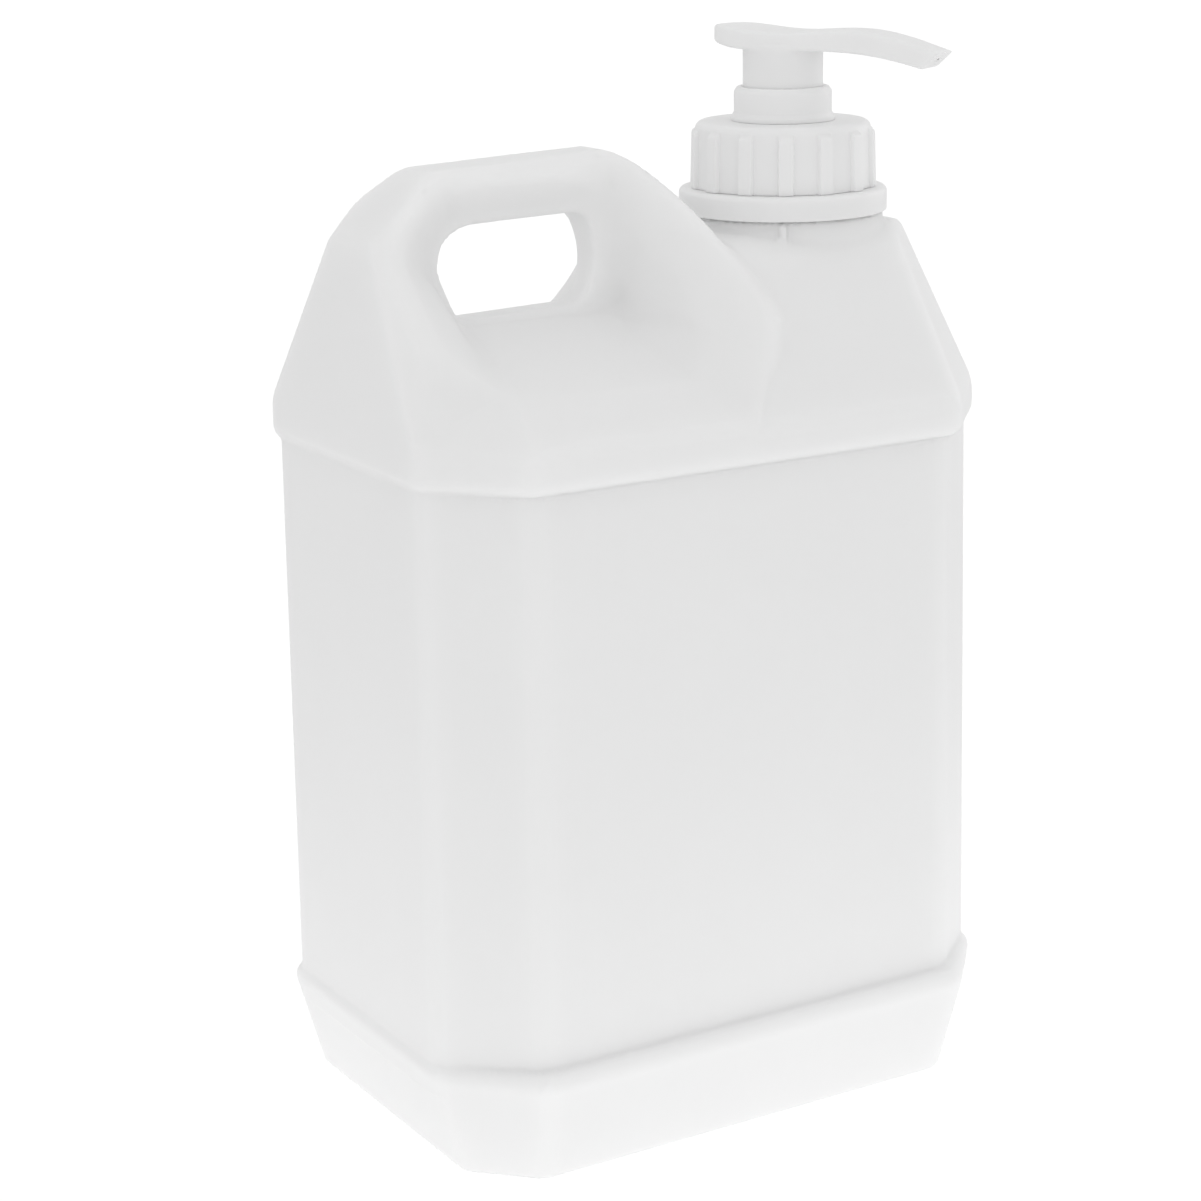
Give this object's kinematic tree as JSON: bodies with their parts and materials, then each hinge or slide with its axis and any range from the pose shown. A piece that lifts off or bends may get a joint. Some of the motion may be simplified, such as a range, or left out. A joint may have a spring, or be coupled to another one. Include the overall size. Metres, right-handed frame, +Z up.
{
  "type": "pump oil bottle",
  "caption": "White jerrycan-style bottle with a moulded carry handle and a screw-on lotion pump for massage oil.",
  "frame": {"origin": "centre of the base on the standing plane", "axes": "+Z up, +X towards the neck end along the long side, -Y is the front face"},
  "size_m": [0.1516, 0.1126, 0.2512],
  "materials": {
    "natural_hdpe": "satin, blow moulded",
    "white_pp": "satin, injection moulded",
    "clear_tube": "translucent",
    "soft_seal": "matte",
    "steel": "bright drawn wire",
    "valve_ball": "polished"
  },
  "bodies": {
    "bottle": {"bottle": "natural_hdpe", "tamper_band": "white_pp"},
    "pump_body": {"pump_housing": "white_pp", "neck_gasket": "soft_seal", "lock_collar": "white_pp", "ball_cage": "white_pp", "dip_tube": "clear_tube", "return_spring": "steel"},
    "cap": {"screw_cap": "white_pp"},
    "inlet_valve": {"inlet_ball": "valve_ball"},
    "piston": {"piston": "soft_seal"},
    "plunger": {"actuator_head": "white_pp", "piston_stem": "white_pp", "stem_plug": "white_pp"},
    "outlet_valve": {"outlet_ball": "valve_ball"}
  },
  "joints": [
    {"name": "pump_rise", "type": "slide", "parent": "bottle", "child": "pump_body", "axis": [0, 0, 1], "range_m": [0, 0.00637]},
    {"name": "cap_turn", "type": "hinge", "parent": "pump_body", "child": "cap", "pos_m": [0.0445, 0, 0.222], "axis": [0, 0, 1], "range_deg": [0, 540]},
    {"name": "press", "type": "slide", "parent": "pump_body", "child": "piston", "axis": [0, 0, 1], "range_m": [-0.0075, 0], "stiffness_N_per_m": 1200, "springref_m": 0.004, "deforming": ["return_spring"]},
    {"name": "head_swivel", "type": "hinge", "parent": "piston", "child": "plunger", "pos_m": [0.0445, 0, 0.24], "axis": [0, 0, 1], "continuous": true},
    {"name": "inlet_lift", "type": "slide", "parent": "pump_body", "child": "inlet_valve", "axis": [0, 0, 1], "range_m": [0, 0.0011]},
    {"name": "outlet_lift", "type": "slide", "parent": "plunger", "child": "outlet_valve", "axis": [0, 0, 1], "range_m": [0, 0.0011]}
  ],
  "couplings": [
    {"joint": "pump_rise", "follows": "cap_turn", "m_per_rad": 0.0006737}
  ]
}
